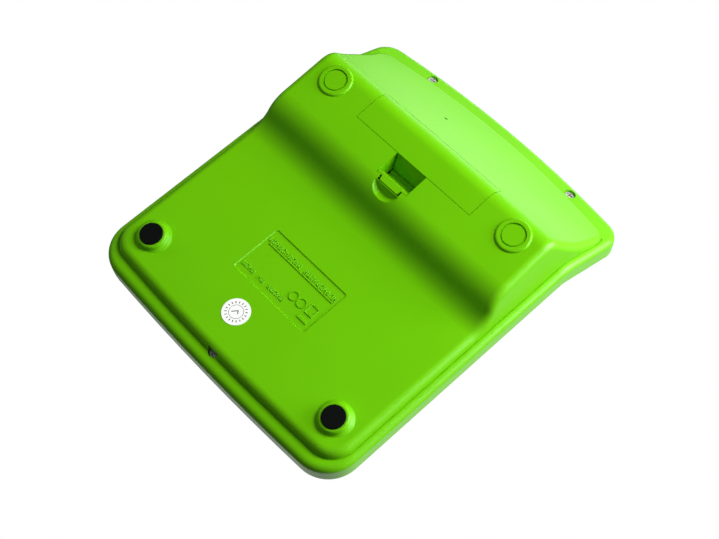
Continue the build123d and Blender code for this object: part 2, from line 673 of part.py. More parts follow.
def solar_cell():
    low, high = -BEZEL_SEAT - 1.1, -BEZEL_SEAT
    return display_box(SOLAR_X0 - 1.6, SOLAR_X1 + 1.6, SOLAR_S0 - 0.7, SOLAR_S1 + 0.6, low, high)


def solar_wires():
    """Two thin leads that run down behind the LCD from the solar cell towards the board."""
    wires = None
    for x in (12.0, 14.8):
        wire = display_box(x - 0.45, x + 0.45, 1.0, 30.5, -6.9, -6.0)
        wire += display_box(x - 0.45, x + 0.45, 29.6, 30.5, -6.5, -BEZEL_SEAT - 1.12)
        wires = wire if wires is None else wires + wire
    return wires


# ---------------------------------------------------------------- keys, mat and board


def key_cap(x, y, depth):
    """Keycap with a dished, drafted top and a flange that keeps it under the top shell."""
    low = TOP_Z - WALL - 0.15
    high = TOP_Z + KEY_H
    stem = extrude(Pos(0, 0, low) * RectangleRounded(KEY_W, depth, KEY_R), amount=WALL + 0.6)
    drafted_low = low + WALL + 0.6
    drafted = Pos(0, 0, drafted_low) * RectangleRounded(KEY_W, depth, KEY_R)
    cap = stem + extrude(drafted, amount=high - drafted_low, taper=KEY_DRAFT)
    rim = cap.edges().group_by(Axis.Z)[-1]
    cap = fillet(rim, 0.9)
    dish = Pos(0, 0, high + 28.0 - 0.55) * Rot(X=90) * Cylinder(28.0, depth + 4)
    cap -= dish & (Pos(0, 0, high) * Box(KEY_W - 4.2, depth - 4.0, 4.0))
    flange = RectangleRounded(KEY_W + 2 * KEY_FLANGE, depth + 2 * KEY_FLANGE, KEY_R)
    cap += extrude(Pos(0, 0, low - KEY_FLANGE_T) * flange, amount=KEY_FLANGE_T)
    hollow = RectangleRounded(KEY_W - 3.0, depth - 3.0, 1.2)
    cap -= extrude(Pos(0, 0, low - KEY_FLANGE_T) * hollow, amount=3.4)
    cap += Pos(0, 0, low - KEY_FLANGE_T) * Cylinder(2.2, 4.0, align=UP)
    return Pos(x, y, 0) * cap


def mat_top():
    return BOARD_Z + BOARD_T + 0.02 + MAT_T


def key_mat():
    """Rubber sheet with one hollow dome under each key, two under the tall key."""
    front, rear = BOARD_FRONT_Y + 0.6, BOARD_REAR_Y - 4.0
    outline = RectangleRounded(2 * (POST_X - POST_R - 0.4), rear - front, 2.0)
    sheet = extrude(Pos(0, (front + rear) / 2, mat_top() - MAT_T) * outline, amount=MAT_T)
    for name, x, y, _ in key_places():
        offsets = (-ROW_PITCH / 2, ROW_PITCH / 2) if name == "key_plus" else (0.0,)
        for offset in offsets:
            dome = Cone(DOME_R, DOME_R - 1.6, DOME_H, align=UP)
            sheet += Pos(x, y + offset, mat_top()) * dome
            sheet -= Pos(x, y + offset, BOARD_Z + BOARD_T) * Cone(DOME_R - 1.2, DOME_R - 2.4, 1.4, align=UP)
    return sheet


def main_board():
    front, rear = BOARD_FRONT_Y, BOARD_REAR_Y
    outline = RectangleRounded(2 * BOARD_HALF_X, rear - front, BOARD_CORNER_R)
    board = extrude(Pos(0, (front + rear) / 2, BOARD_Z) * outline, amount=BOARD_T)
    for side in (-1, 1):
        for y in POST_YS:
            board -= Pos(side * POST_X, y, BOARD_Z) * Cylinder(1.0, 4, align=(Align.CENTER,) * 3)
    return board - Pos(0, FRONT_SCREW_Y, BOARD_Z) * Cylinder(SCREW_BOSS_R + 0.6, 8)


def chip_cover():
    """Blob of black resin over the processor, on the underside of the board."""
    blob = Sphere(8.0) & (Pos(0, 0, -11.4) * Box(20, 20, 10))
    return Pos(12.0, 30.0, BOARD_Z + 6.4 - 0.01) * blob


def board_screws():
    screws = None
    for side in (-1, 1):
        for y in POST_YS:
            head = Pos(side * POST_X, y, BOARD_Z - 0.01) * Cylinder(1.6, 1.0, align=DOWN)
            shank = Pos(side * POST_X, y, BOARD_Z - 0.5) * Cylinder(0.75, 5.0, align=UP)
            screw = head + shank
            screws = screw if screws is None else screws + screw
    return screws


# ---------------------------------------------------------------- fasteners and trim


def cross_recess():
    arm = Box(0.7, 2.7, 2.0)
    return arm + Rot(Z=90) * arm


def case_screws():
    screws = None
    for which in SCREW_PLACES:
        seat = screw_axis(which) * Pos(0, 0, SCREW_SINK - 0.02)
        head = Cylinder(SCREW_HEAD_R, SCREW_HEAD_T, align=DOWN)
        head = fillet(head.edges().filter_by(GeomType.CIRCLE).group_by(Axis.Z)[0], 0.5)
        head -= Pos(0, 0, -SCREW_HEAD_T) * cross_recess()
        screw = seat * (head + Cylinder(SCREW_R - 0.05, 5.2, align=UP))
        screws = screw if screws is None else screws + screw
    return screws


def foot_pads():
    pads = None
    for side in (-1, 1):
        pad = Cylinder(PAD_R, PAD_PROUD + PAD_SEAT - 0.02, align=UP)
        pad = fillet(pad.edges().filter_by(GeomType.CIRCLE).group_by(Axis.Z)[0], 0.25)
        pad = on_feet(pad, side * FRONT_FOOT_X, 0, 0)
        pads = pad if pads is None else pads + pad
    return pads


def inspection_sticker():
    return Pos(STICKER_X, STICKER_Y, -0.01) * Cylinder(STICKER_R, STICKER_T, align=DOWN)


def build():
    outer, inner = pan_solid(), pan_solid(WALL)
    nodes = {
        "bottom_case": bottom_case(outer, inner),
        "battery_door": battery_door(outer, inner),
        "door_latch": door_latch(),
        "battery_cell": battery_cell(),
        "positive_contact": positive_contact(),
        "negative_spring": negative_spring(),
        "battery_wires": battery_wires(),
        "top_case": top_case(),
        "display_bezel": display_bezel(),
        "display_window": display_window(),
        "lcd_panel": lcd_panel(),
        "lcd_holder": lcd_holder(),
        "lcd_ribbon": lcd_ribbon(),
        "solar_cell": solar_cell(),
        "solar_wires": solar_wires(),
        "key_mat": key_mat(),
        "main_board": main_board(),
        "chip_cover": chip_cover(),
        "board_screws": board_screws(),
        "case_screws": case_screws(),
        "foot_pads": foot_pads(),
        "inspection_sticker": inspection_sticker(),
    }
    for name, x, y, depth in key_places():
        nodes[name] = key_cap(x, y, depth)
    return nodes


def seated(nodes):
    """Tip the model onto its feet and centre its footprint on the origin."""
    tip = Pos(0, 0, FRONT_FOOT_DROP * math.cos(math.radians(TILT))) * Rot(X=TILT)
    tipped = {name: tip * shape for name, shape in nodes.items()}
    boxes = [tipped[name].bounding_box() for name in ("bottom_case", "top_case")]
    low, high = min(b.min.Y for b in boxes), max(b.max.Y for b in boxes)
    shift = -(low + high) / 2
    print("design origin in the seated frame: y", round(shift, 4), "z", round(tip.position.Z, 4))
    return {name: Pos(0, shift, 0) * shape for name, shape in tipped.items()}


os.makedirs("parts", exist_ok=True)
for name, shape in seated(build()).items():
    export_step(shape, f"parts/{name}.step")
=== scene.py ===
import math

import bmesh
import bpy
from mathutils import Matrix, Vector
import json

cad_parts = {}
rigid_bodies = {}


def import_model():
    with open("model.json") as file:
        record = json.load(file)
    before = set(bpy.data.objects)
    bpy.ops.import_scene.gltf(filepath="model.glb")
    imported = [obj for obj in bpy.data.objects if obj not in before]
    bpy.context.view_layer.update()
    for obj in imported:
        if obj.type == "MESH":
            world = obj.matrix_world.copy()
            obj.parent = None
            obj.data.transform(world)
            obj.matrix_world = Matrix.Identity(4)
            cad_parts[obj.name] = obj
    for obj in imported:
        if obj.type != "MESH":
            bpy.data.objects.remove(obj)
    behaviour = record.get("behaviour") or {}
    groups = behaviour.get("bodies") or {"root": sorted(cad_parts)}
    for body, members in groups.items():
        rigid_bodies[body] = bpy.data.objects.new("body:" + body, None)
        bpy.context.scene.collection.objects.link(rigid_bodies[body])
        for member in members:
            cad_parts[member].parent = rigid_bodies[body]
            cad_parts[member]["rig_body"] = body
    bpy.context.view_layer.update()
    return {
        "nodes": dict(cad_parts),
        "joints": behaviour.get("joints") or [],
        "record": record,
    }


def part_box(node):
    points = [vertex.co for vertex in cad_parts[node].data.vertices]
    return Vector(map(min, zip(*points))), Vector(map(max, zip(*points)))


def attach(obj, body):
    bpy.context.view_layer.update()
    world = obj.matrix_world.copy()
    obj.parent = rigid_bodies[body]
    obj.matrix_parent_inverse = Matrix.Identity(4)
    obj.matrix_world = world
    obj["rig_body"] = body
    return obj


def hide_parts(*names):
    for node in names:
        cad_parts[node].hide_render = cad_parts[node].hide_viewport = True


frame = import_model()

MM = 0.001
NODES = frame["nodes"]

# Places in the design frame of the case, in millimetres: X to the user's right, Y towards the display and
# Z through the keys, with Z = 0 on the flat pan and Y = 0 through the front pads.
FOOT = (46.3, 0.0, -3.2)
TOP_Z = 13.0
KEY_TOP, KEY_DISH_R, KEY_DISH_DEPTH = 17.0, 28.0, 0.55
SLOPE_Y, SLOPE_DEG = 92.58, 25.5
LCD_FACE, LCD_MIDDLE = -2.2, 14.3
SOLAR_FACE, SOLAR_MIDDLE, SOLAR_HALF_X, SOLAR_HALF_S = -1.2, 28.4, 19.0, 3.6
LABEL_FLOOR = 0.4
STICKER_X, STICKER_Y, STICKER_FACE = 4.7, 2.4, -0.13
CELL_HALF, CELL_Y, CELL_Z, BAY_HALF_X = 24.5, 85.5, -3.0, 28.6

LEGENDS = {
    "key_0": "0", "key_1": "1", "key_2": "2", "key_3": "3", "key_4": "4",
    "key_5": "5", "key_6": "6", "key_7": "7", "key_8": "8", "key_9": "9",
    "key_point": ".", "key_equals": "=", "key_plus": "+", "key_minus": "−",
    "key_times": "×", "key_divide": "÷", "key_percent": "%", "key_root": "√",
    "key_clear": "C", "key_all_clear": "AC",
    "key_memory_clear": "MC", "key_memory_recall": "MR", "key_memory_minus": "M−", "key_memory_plus": "M+",
}
READOUT = "12345678"


# ---------------------------------------------------------------- the design frame


def design_frame():
    """Turns millimetres of the design frame into metres of the row frame."""
    press = next(j for j in frame["joints"] if j["name"] == "key_0_press")["axis"]
    feet = next(m for m in frame["record"]["mounts"] if m["name"] == "feet")["pos_m"]
    turn = Matrix.Rotation(math.asin(press[1]), 4, "X")
    return Matrix.Translation(feet) @ turn @ Matrix.Scale(MM, 4) @ Matrix.Translation(-Vector(FOOT))


DESIGN = design_frame()
SLOPE = DESIGN @ Matrix.Translation((0, SLOPE_Y, TOP_Z)) @ Matrix.Rotation(math.radians(SLOPE_DEG), 4, "X")
FACE_DOWN = Matrix.Rotation(math.pi, 4, "X")


def design_direction(x, y, z):
    return (DESIGN.to_3x3() @ Vector((x, y, z))).normalized()


# ---------------------------------------------------------------- camera, floor and light


CAMERA_PLACE = (-0.1816, -0.0940, -0.4131)
CAMERA_TURN = (-156.996, -7.485, 133.223)
CAMERA_LENS, CAMERA_SENSOR = 68.70, 36.0
FLOOR_SIZE, FLOOR_GAP = 3.0, 0.0002


def add_camera():
    data = bpy.data.cameras.new("camera")
    data.lens, data.sensor_width = CAMERA_LENS, CAMERA_SENSOR
    data.clip_start, data.clip_end = 0.01, 20.0
    camera = bpy.data.objects.new("camera", data)
    camera.location = CAMERA_PLACE
    camera.rotation_euler = [math.radians(angle) for angle in CAMERA_TURN]
    bpy.context.scene.collection.objects.link(camera)
    bpy.context.scene.camera = camera


def add_floor():
    """Pale floor that the case stands on, one-sided so that the underside can be seen through it."""
    mesh = bpy.data.meshes.new("floor")
    half = FLOOR_SIZE / 2
    corners = [(-half, -half, 0), (half, -half, 0), (half, half, 0), (-half, half, 0)]
    mesh.from_pydata(corners, [], [(0, 1, 2, 3)])
    floor = bpy.data.objects.new("floor", mesh)
    floor.location.z = -FLOOR_GAP
    bpy.context.scene.collection.objects.link(floor)
    material = bpy.data.materials.new("floor")
    material.use_nodes = True
    tree = material.node_tree
    tree.nodes.clear()
    diffuse = add_node(tree, "ShaderNodeBsdfDiffuse", Color=(0.82, 0.82, 0.81, 1))
    clear = add_node(tree, "ShaderNodeBsdfTransparent")
    sides = add_node(tree, "ShaderNodeNewGeometry")
    pick = add_node(tree, "ShaderNodeMixShader")
    out = add_node(tree, "ShaderNodeOutputMaterial")
    tree.links.new(sides.outputs["Backfacing"], pick.inputs[0])
    tree.links.new(diffuse.outputs[0], pick.inputs[1])
    tree.links.new(clear.outputs[0], pick.inputs[2])
    tree.links.new(pick.outputs[0], out.inputs["Surface"])
    mesh.materials.append(material)
    floor.visible_shadow = False
    floor.visible_diffuse = False
    floor.visible_glossy = False


def add_world(backdrop, ambient):
    """White backdrop for the camera, and a much dimmer even light on the object."""
    world = bpy.data.worlds.new("world")
    world.use_nodes = True
    tree = world.node_tree
    tree.nodes.clear()
    seen = add_node(tree, "ShaderNodeBackground", Color=(1, 1, 1, 1), Strength=backdrop)
    lit = add_node(tree, "ShaderNodeBackground", Color=(0.94, 0.97, 1, 1), Strength=ambient)
    path = add_node(tree, "ShaderNodeLightPath")
    pick = add_node(tree, "ShaderNodeMixShader")
    out = add_node(tree, "ShaderNodeOutputWorld")
    tree.links.new(path.outputs["Is Camera Ray"], pick.inputs[0])
    tree.links.new(lit.outputs[0], pick.inputs[1])
    tree.links.new(seen.outputs[0], pick.inputs[2])
    tree.links.new(pick.outputs[0], out.inputs["Surface"])
    bpy.context.scene.world = world


def add_softbox(name, direction, distance, size, level, glossy=True):
    """Round softbox that lights a white surface facing it to the brightness ``level``."""
    data = bpy.data.lights.new(name, "AREA")
    data.shape, data.size = "DISK", size
    data.energy = level * math.pi**2 * distance**2
    lamp = bpy.data.objects.new(name, data)
    lamp.location = direction * distance
    lamp.rotation_euler = direction.to_track_quat("Z", "Y").to_euler()
    lamp.visible_camera = False
    lamp.visible_glossy = glossy
    bpy.context.scene.collection.objects.link(lamp)


def add_lights():
    add_world(1.0, 0.05)
    add_softbox("under_main", design_direction(-0.35, 0.55, -0.76), 0.60, 0.30, 1.10, glossy=False)
    add_softbox("under_grazing", design_direction(-0.72, 0.66, -0.20), 0.60, 0.45, 1.45)
    add_softbox("under_sheen", design_direction(0.25, 0.92, 0.26), 0.60, 0.40, 0.16)
    add_softbox("under_side", design_direction(0.85, -0.20, -0.40), 0.60, 0.30, 0.18, glossy=False)
    add_softbox("under_fill", design_direction(-0.30, -0.45, -0.84), 0.70, 0.50, 0.08, glossy=False)
    add_softbox("over_main", Vector((-0.10, -0.20, 1.00)).normalized(), 0.80, 1.30, 0.70)
    add_softbox("over_key", Vector((0.55, 0.20, 0.75)).normalized(), 0.80, 0.25, 0.45, glossy=False)
    scene = bpy.context.scene
    scene.view_settings.view_transform = "Standard"
    scene.view_settings.look = "None"


# ---------------------------------------------------------------- material building blocks


def add_node(tree, kind, **values):
    """Adds a node; keyword values set its sockets by name, with _ for a space."""
    node = tree.nodes.new(kind)
    for name, value in values.items():
        node.inputs[name.replace("_", " ")].default_value = value
    return node


def start_material(name, **values):
    """A material with one Principled shader; returns the material, its tree and the shader."""
    material = bpy.data.materials.new(name)
    material.use_nodes = True
    tree = material.node_tree
    shader = tree.nodes["Principled BSDF"]
    for socket, value in values.items():
        shader.inputs[socket.replace("_", " ")].default_value = value
    return material, tree, shader


def object_place(tree):
    """The place on the object, in metres, as the socket that textures are drawn from."""
    return add_node(tree, "ShaderNodeTexCoord").outputs["Object"]


def noise(tree, scale, detail=2.0, roughness=0.5):
    node = add_node(tree, "ShaderNodeTexNoise", Scale=scale, Detail=detail, Roughness=roughness)
    tree.links.new(object_place(tree), node.inputs["Vector"])
    return node.outputs["Fac"]


def between(tree, factor, low, high):
    """A number that runs from low to high as factor goes from 0 to 1."""
    node = add_node(tree, "ShaderNodeMapRange")
    node.inputs["To Min"].default_value = low
    node.inputs["To Max"].default_value = high
    tree.links.new(factor, node.inputs["Value"])
    return node.outputs["Result"]


def ramp(tree, factor, *stops):
    """Colour ramp through (place, colour) stops."""
    node = add_node(tree, "ShaderNodeValToRGB")
    elements = node.color_ramp.elements
    while len(elements) < len(stops):
        elements.new(0.5)
    for element, (place, colour) in zip(elements, stops):
        element.position = place
        element.color = (*colour, 1)
    tree.links.new(factor, node.inputs["Fac"])
    return node.outputs["Color"]


def bump(tree, shader, height, distance, strength=1.0):
    node = add_node(tree, "ShaderNodeBump", Strength=strength, Distance=distance)
    tree.links.new(height, node.inputs["Height"])
    tree.links.new(node.outputs["Normal"], shader.inputs["Normal"])


# ---------------------------------------------------------------- materials


def shell_green():
    """Bright lime moulded plastic with a fine satin texture and a slight waviness of tone."""
    material, tree, shader = start_material("shell_green", Specular_IOR_Level=0.45)
    tone = ramp(tree, noise(tree, 28.0), (0.30, (0.128, 0.476, 0.0003)), (0.70, (0.139, 0.498, 0.0005)))
    tree.links.new(tone, shader.inputs["Base Color"])
    grain = noise(tree, 2600.0, 3.0)
    tree.links.new(between(tree, grain, 0.36, 0.46), shader.inputs["Roughness"])
    bump(tree, shader, grain, 0.000008, 0.30)
    return material


def gloss_black():
    material, tree, shader = start_material("gloss_black", Coat_Weight=0.6, Coat_Roughness=0.06)
    tone = ramp(tree, noise(tree, 60.0), (0.35, (0.010, 0.010, 0.012)), (0.65, (0.018, 0.018, 0.021)))
    tree.links.new(tone, shader.inputs["Base Color"])
    tree.links.new(between(tree, noise(tree, 400.0), 0.14, 0.22), shader.inputs["Roughness"])
    return material


def clear_window():
    """Clear moulded window, thin enough to look straight through."""
    material, tree, shader = start_material("clear_window", Alpha=0.16, Coat_Weight=0.3, Coat_Roughness=0.04)
    tone = ramp(tree, noise(tree, 40.0), (0.3, (0.78, 0.84, 0.83)), (0.7, (0.84, 0.88, 0.87)))
    tree.links.new(tone, shader.inputs["Base Color"])
    tree.links.new(between(tree, noise(tree, 300.0), 0.05, 0.09), shader.inputs["Roughness"])
    return material


def lcd_glass():
    """Grey-green reflective display with a faint polariser mottle."""
    material, tree, shader = start_material("lcd_glass", Specular_IOR_Level=0.6)
    tone = ramp(tree, noise(tree, 900.0, 4.0), (0.3, (0.30, 0.34, 0.27)), (0.7, (0.36, 0.40, 0.32)))
    tree.links.new(tone, shader.inputs["Base Color"])
    tree.links.new(between(tree, noise(tree, 500.0), 0.22, 0.30), shader.inputs["Roughness"])
    return material


def lcd_ink():
    material, tree, shader = start_material("lcd_ink")
    tone = ramp(tree, noise(tree, 700.0), (0.3, (0.016, 0.020, 0.018)), (0.7, (0.030, 0.034, 0.030)))
    tree.links.new(tone, shader.inputs["Base Color"])
    tree.links.new(between(tree, noise(tree, 300.0), 0.35, 0.45), shader.inputs["Roughness"])
    return material


def matt_plastic(name, low, high, low_rough=0.50, high_rough=0.62):
    """Plain moulded plastic with a slight tone change and a fine surface grain."""
    material, tree, shader = start_material(name)
    tone = ramp(tree, noise(tree, 45.0), (0.3, low), (0.7, high))
    tree.links.new(tone, shader.inputs["Base Color"])
    grain = noise(tree, 2200.0, 3.0)
    tree.links.new(between(tree, grain, low_rough, high_rough), shader.inputs["Roughness"])
    bump(tree, shader, grain, 0.00002, 0.35)
    return material


def striped_film():
    """Heat-seal film with fine dark conductors running along it."""
    material, tree, shader = start_material("striped_film")
    wave = add_node(tree, "ShaderNodeTexWave", Scale=320.0, Distortion=0.0)
    tree.links.new(object_place(tree), wave.inputs["Vector"])
    tone = ramp(tree, wave.outputs["Fac"], (0.42, (0.52, 0.36, 0.12)), (0.58, (0.09, 0.07, 0.05)))
    tree.links.new(tone, shader.inputs["Base Color"])
    tree.links.new(between(tree, noise(tree, 400.0), 0.30, 0.40), shader.inputs["Roughness"])
    return material


def solar_glass():
    """Amorphous silicon cell: near-black brown with a faint violet sheen under glass."""
    material, tree, shader = start_material("solar_glass", Coat_Weight=0.9, Coat_Roughness=0.03)
    tone = ramp(tree, noise(tree, 260.0, 4.0), (0.3, (0.022, 0.012, 0.020)), (0.7, (0.045, 0.022, 0.034)))
    tree.links.new(tone, shader.inputs["Base Color"])
    tree.links.new(between(tree, noise(tree, 700.0), 0.18, 0.26), shader.inputs["Roughness"])
    return material


def circuit_board():
    """Solder mask over copper tracks."""
    material, tree, shader = start_material("circuit_board", Coat_Weight=0.3, Coat_Roughness=0.2)
    tracks = add_node(tree, "ShaderNodeTexBrick", Scale=120.0, Mortar_Size=0.06)
    tree.links.new(object_place(tree), tracks.inputs["Vector"])
    tone = ramp(tree, tracks.outputs["Fac"], (0.3, (0.012, 0.110, 0.045)), (0.7, (0.045, 0.240, 0.090)))
    tree.links.new(tone, shader.inputs["Base Color"])
    tree.links.new(between(tree, noise(tree, 500.0), 0.30, 0.42), shader.inputs["Roughness"])
    bump(tree, shader, tracks.outputs["Fac"], 0.00003, 0.6)
    return material


def plated_metal(name, low, high, low_rough, high_rough, metallic=1.0):
    """Plated steel with fine scratches along X."""
    material, tree, shader = start_material(name, Metallic=metallic)
    place = add_node(tree, "ShaderNodeMapping", Scale=(0.08, 1.0, 1.0))
    tree.links.new(object_place(tree), place.inputs["Vector"])
    streaks = add_node(tree, "ShaderNodeTexNoise", Scale=1800.0, Detail=4.0)
    tree.links.new(place.outputs["Vector"], streaks.inputs["Vector"])
    tree.links.new(ramp(tree, streaks.outputs["Fac"], (0.3, low), (0.7, high)), shader.inputs["Base Color"])
    rough = between(tree, streaks.outputs["Fac"], low_rough, high_rough)
    tree.links.new(rough, shader.inputs["Roughness"])
    bump(tree, shader, streaks.outputs["Fac"], 0.00001, 0.4)
    return material


def foot_rubber():
    """Black rubber with a slightly dusty, finely pitted face."""
    material, tree, shader = start_material("foot_rubber", Specular_IOR_Level=0.12)
    grain = noise(tree, 3200.0, 4.0, 0.6)
    tone = ramp(tree, grain, (0.35, (0.0025, 0.0035, 0.0028)), (0.75, (0.0065, 0.0090, 0.0072)))
    tree.links.new(tone, shader.inputs["Base Color"])
    tree.links.new(between(tree, grain, 0.62, 0.80), shader.inputs["Roughness"])
    bump(tree, shader, grain, 0.00006, 0.5)
    return material


def sticker_paper():
    """Coated white paper with visible fibres."""
    material, tree, shader = start_material("sticker_paper", Specular_IOR_Level=0.4)
    fibre = noise(tree, 1500.0, 5.0, 0.65)
    tone = ramp(tree, fibre, (0.3, (0.90, 0.91, 0.89)), (0.7, (0.95, 0.955, 0.94)))
    tree.links.new(tone, shader.inputs["Base Color"])
    tree.links.new(between(tree, fibre, 0.45, 0.60), shader.inputs["Roughness"])
    bump(tree, shader, fibre, 0.00003, 0.4)
    return material


def sticker_ink():
    material, tree, shader = start_material("sticker_ink", Specular_IOR_Level=0.3)
    tone = ramp(tree, noise(tree, 2200.0, 3.0), (0.3, (0.075, 0.100, 0.070)), (0.7, (0.150, 0.180, 0.130)))
    tree.links.new(tone, shader.inputs["Base Color"])
    tree.links.new(between(tree, noise(tree, 900.0), 0.50, 0.60), shader.inputs["Roughness"])
    return material


def cell_wrap():
    """Printed sleeve in plain bands along the cell, bare nickel at both ends."""
    material, tree, shader = start_material("cell_wrap", Coat_Weight=0.4, Coat_Roughness=0.1)
    along = add_node(tree, "ShaderNodeSeparateXYZ")
    tree.links.new(object_place(tree), along.inputs["Vector"])
    share = add_node(tree, "ShaderNodeMapRange")
    share.inputs["From Min"].default_value = -CELL_HALF * MM
    share.inputs["From Max"].default_value = CELL_HALF * MM
    tree.links.new(along.outputs["X"], share.inputs["Value"])
    nickel, blue, white = (0.62, 0.61, 0.58), (0.020, 0.060, 0.220), (0.75, 0.76, 0.78)
    sleeve = ((0.0, nickel), (0.018, blue), (0.62, white), (0.68, blue), (0.982, nickel))
    bands = ramp(tree, share.outputs["Result"], *sleeve)
    bands.node.color_ramp.interpolation = "CONSTANT"
    tree.links.new(bands, shader.inputs["Base Color"])
    metal = ramp(tree, share.outputs["Result"], (0.0, (1, 1, 1)), (0.018, (0, 0, 0)), (0.982, (1, 1, 1)))
    metal.node.color_ramp.interpolation = "CONSTANT"
    tree.links.new(metal, shader.inputs["Metallic"])
    tree.links.new(between(tree, noise(tree, 600.0), 0.24, 0.34), shader.inputs["Roughness"])
    return material


def silicone():
    """Milky silicone rubber."""
    material, tree, shader = start_material("silicone", Subsurface_Weight=0.3, Subsurface_Scale=0.002)
    tone = ramp(tree, noise(tree, 90.0), (0.3, (0.58, 0.58, 0.56)), (0.7, (0.66, 0.66, 0.64)))
    tree.links.new(tone, shader.inputs["Base Color"])
    tree.links.new(between(tree, noise(tree, 900.0), 0.48, 0.60), shader.inputs["Roughness"])
    return material


def make_materials():
    white, off_white = (0.70, 0.70, 0.67), (0.76, 0.76, 0.73)
    return {
        "green_shell": shell_green(),
        "dark_bezel": gloss_black(),
        "clear_window": clear_window(),
        "lcd_glass": lcd_glass(),
        "lcd_ink": lcd_ink(),
        "white_plastic": matt_plastic("white_plastic", white, off_white),
        "ribbon_film": striped_film(),
        "solar_glass": solar_glass(),
        "wire_sleeve": matt_plastic("wire_sleeve", (0.40, 0.030, 0.024), (0.48, 0.042, 0.032), 0.35, 0.45),
        "silicone_mat": silicone(),
        "circuit_board": circuit_board(),
        "black_resin": matt_plastic("black_resin", (0.010, 0.010, 0.010), (0.022, 0.022, 0.022), 0.20, 0.34),
        "screw_steel": plated_metal(
            "screw_steel", (0.62, 0.61, 0.58), (0.80, 0.79, 0.76), 0.34, 0.50, metallic=0.55
        ),
        "foot_rubber": foot_rubber(),
        "sticker_paper": sticker_paper(),
        "sticker_ink": sticker_ink(),
        "cell_wrap": cell_wrap(),
        "contact_plate": plated_metal("contact_plate", (0.55, 0.54, 0.50), (0.72, 0.71, 0.67), 0.18, 0.30),
        "key_plastic": matt_plastic("key_plastic", (0.66, 0.67, 0.65), (0.72, 0.73, 0.71), 0.34, 0.44),
        "key_plastic_accent": matt_plastic(
            "key_plastic_accent", (0.50, 0.085, 0.022), (0.58, 0.110, 0.030), 0.34, 0.44
        ),
        "legend_ink": matt_plastic("legend_ink", (0.020, 0.022, 0.024), (0.034, 0.036, 0.038), 0.40, 0.50),
        "legend_white": matt_plastic("legend_white", (0.74, 0.74, 0.72), (0.80, 0.80, 0.78), 0.40, 0.50),
    }


# ---------------------------------------------------------------- building blocks for the pieces


RING_STEPS = 40
TEXT_WEIGHT = 0.02


def finish_piece(name, mesh, place, body, material):
    """Puts a mesh drawn in millimetres at ``place``, lets it ride on a body and gives it its finish."""
    mesh.transform(place)
    mesh.materials.clear()
    mesh.materials.append(material)
    piece = bpy.data.objects.new(name, mesh)
    bpy.context.scene.collection.objects.link(piece)
    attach(piece, body)
    return piece


def mesh_from(name, build):
    """A mesh whose geometry the function ``build`` adds to an empty bmesh."""
    form = bmesh.new()
    build(form)
    bmesh.ops.recalc_face_normals(form, faces=form.faces)
    mesh = bpy.data.meshes.new(name)
    form.to_mesh(mesh)
    form.free()
    return mesh


def add_bar(form, centre, size, turn=0.0, chamfer=0.0):
    """A block with its top edges chamfered; ``size`` is X, Y and Z, and ``turn`` is about Z in degrees."""
    x, y, z = (value / 2 for value in size)
    rotation = Matrix.Rotation(math.radians(turn), 3, "Z")
    rings = [(x, y, -z)]
    rings += [(x, y, z - chamfer), (x - chamfer, y - chamfer, z)] if chamfer else [(x, y, z)]
    loops = []
    for rx, ry, rz in rings:
        corners = [(-rx, -ry, rz), (rx, -ry, rz), (rx, ry, rz), (-rx, ry, rz)]
        loops.append([form.verts.new(Vector(centre) + rotation @ Vector(corner)) for corner in corners])
    close_rings(form, loops)


def close_rings(form, loops):
    """Joins rings of vertices into a closed skin, with a cap on the first and the last."""
    count = len(loops[0])
    for low, high in zip(loops, loops[1:]):
        for i in range(count):
            j = (i + 1) % count
            form.faces.new((low[i], low[j], high[j], high[i]))
    form.faces.new(loops[0][::-1])
    form.faces.new(loops[-1])


def add_ring(form, centre, radius, width, height):
    """A flat ring with a rectangular section."""
    sections = []
    for i in range(RING_STEPS):
        angle = math.radians(360.0 * i / RING_STEPS)
        section = []
        for reach, rise in ((-1, -1), (1, -1), (1, 1), (-1, 1)):
            r = radius + reach * width / 2
            at = Vector((r * math.cos(angle), r * math.sin(angle), rise * height / 2))
            section.append(form.verts.new(Vector(centre) + at))
        sections.append(section)
    for a, b in zip(sections, sections[1:] + sections[:1]):
        for i in range(4):
            j = (i + 1) % 4
            form.faces.new((a[i], a[j], b[j], b[i]))


def mesh_of_curve(name, curve):
    """The solid mesh that a curve or a text makes."""
    holder = bpy.data.objects.new(name, curve)
    bpy.context.scene.collection.objects.link(holder)
    bpy.context.view_layer.update()
    mesh = bpy.data.meshes.new_from_object(holder.evaluated_get(bpy.context.evaluated_depsgraph_get()))
    bpy.data.objects.remove(holder)
    return mesh


def text_mesh(name, text, size, thickness):
    """Text as a solid mesh centred on the origin, in millimetres."""
    curve = bpy.data.curves.new(name, "FONT")
    curve.body, curve.size, curve.extrude = text, size, thickness / 2
    curve.align_x, curve.align_y = "CENTER", "CENTER"
    curve.offset = TEXT_WEIGHT * size
    return mesh_of_curve(name, curve)


def centre_mesh(mesh):
    """Moves a mesh so that its middle in X and Y is on the origin."""
    xs = [v.co.x for v in mesh.vertices]
    ys = [v.co.y for v in mesh.vertices]
    mesh.transform(Matrix.Translation((-(min(xs) + max(xs)) / 2, -(min(ys) + max(ys)) / 2, 0)))


def slice_across(mesh, step):
    """Cuts a mesh at every ``step`` along X, so that it can be bent."""
    form = bmesh.new()
    form.from_mesh(mesh)
    reach = max(abs(v.co.x) for v in form.verts)
    count = int(reach / step)
    for i in range(-count, count + 1):
        parts = form.verts[:] + form.edges[:] + form.faces[:]
        bmesh.ops.bisect_plane(form, geom=parts, plane_co=(i * step, 0, 0), plane_no=(1, 0, 0))
    bmesh.ops.triangulate(form, faces=form.faces)
    form.to_mesh(mesh)
    form.free()


# ---------------------------------------------------------------- keys and display


